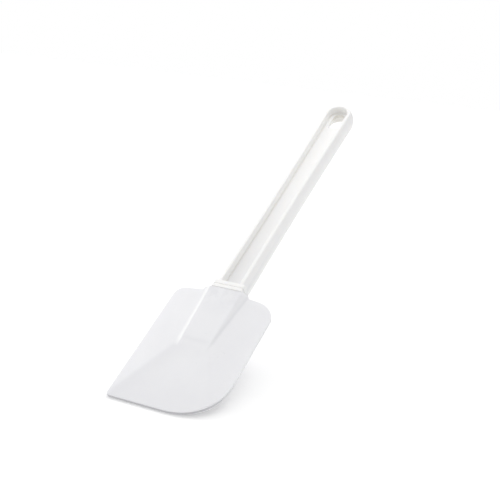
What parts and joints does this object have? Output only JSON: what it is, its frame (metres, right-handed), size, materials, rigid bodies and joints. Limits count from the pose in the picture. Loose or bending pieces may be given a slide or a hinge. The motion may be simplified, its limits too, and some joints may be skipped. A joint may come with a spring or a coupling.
{
  "type": "rubber bowl scraper",
  "caption": "Long-handled bowl scraper with a recessed white plastic handle, a hanging hole and a flexible white rubber blade with one square and one swept corner.",
  "frame": {"origin": "middle of the working edge's end face, on the handle's centre line and at half the blade's thickness", "axes": "+Y along the length from the working edge to the hanging end, +X to the right towards the swept corner, +Z out of the face; the scraper lies flat"},
  "size_m": [0.082, 0.345, 0.017],
  "materials": {
    "handle_plastic": "warm white moulded plastic, satin, lightly scuffed",
    "blade_rubber": "cool white thermoplastic rubber, smooth satin"
  },
  "bodies": {
    "handle_and_socket": {"handle": "handle_plastic", "blade_body": "blade_rubber"},
    "lip": {"blade_lip": "blade_rubber"}
  },
  "joints": [
    {"name": "blade_bend", "type": "hinge", "parent": "handle_and_socket", "child": "lip", "pos_m": [0, 0.045, 0], "axis": [1, 0, 0], "range_deg": [-40, 40], "stiffness_Nm_per_rad": 0.15}
  ]
}
